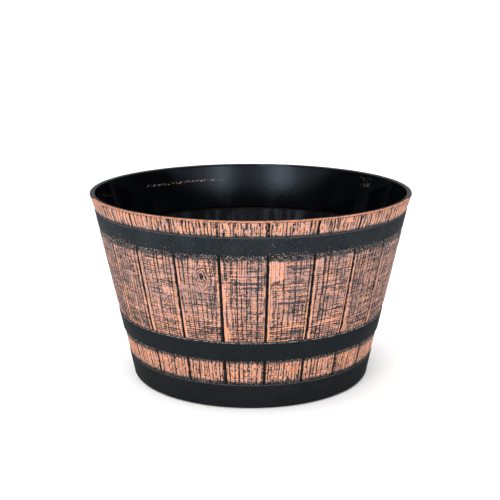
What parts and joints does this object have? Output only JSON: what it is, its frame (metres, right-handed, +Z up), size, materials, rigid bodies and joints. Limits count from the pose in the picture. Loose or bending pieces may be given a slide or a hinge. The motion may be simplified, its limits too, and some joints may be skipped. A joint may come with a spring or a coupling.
{
  "type": "barrel planter",
  "caption": "Round open-topped half-barrel planter tub moulded with staves, hoops and a rolled rim, with lift-out drain plugs in its floor.",
  "frame": {"origin": "centre of the circle that the tub stands on, at the ground", "axes": "+Z up along the tub's axis, front of the tub at -Y, +X to the right seen from the front"},
  "size_m": [0.394, 0.3936, 0.2315],
  "materials": {
    "painted_resin": "black moulded resin, copper paint dry-brushed over the raised wood grain, black hoops, rim and inside",
    "plug_rubber": "matt black moulded rubber"
  },
  "bodies": {
    "tub": {"barrel_tub": "painted_resin"},
    "plug_centre": {"drain_plug_centre": "plug_rubber"},
    "plug_front": {"drain_plug_front": "plug_rubber"},
    "plug_right": {"drain_plug_right": "plug_rubber"},
    "plug_back": {"drain_plug_back": "plug_rubber"},
    "plug_left": {"drain_plug_left": "plug_rubber"}
  },
  "joints": [
    {"name": "lift_plug_centre", "type": "slide", "parent": "tub", "child": "plug_centre", "axis": [0, 0, 1], "range_m": [0, 0.24]},
    {"name": "lift_plug_front", "type": "slide", "parent": "tub", "child": "plug_front", "axis": [0, 0, 1], "range_m": [0, 0.24]},
    {"name": "lift_plug_right", "type": "slide", "parent": "tub", "child": "plug_right", "axis": [0, 0, 1], "range_m": [0, 0.24]},
    {"name": "lift_plug_back", "type": "slide", "parent": "tub", "child": "plug_back", "axis": [0, 0, 1], "range_m": [0, 0.24]},
    {"name": "lift_plug_left", "type": "slide", "parent": "tub", "child": "plug_left", "axis": [0, 0, 1], "range_m": [0, 0.24]}
  ]
}
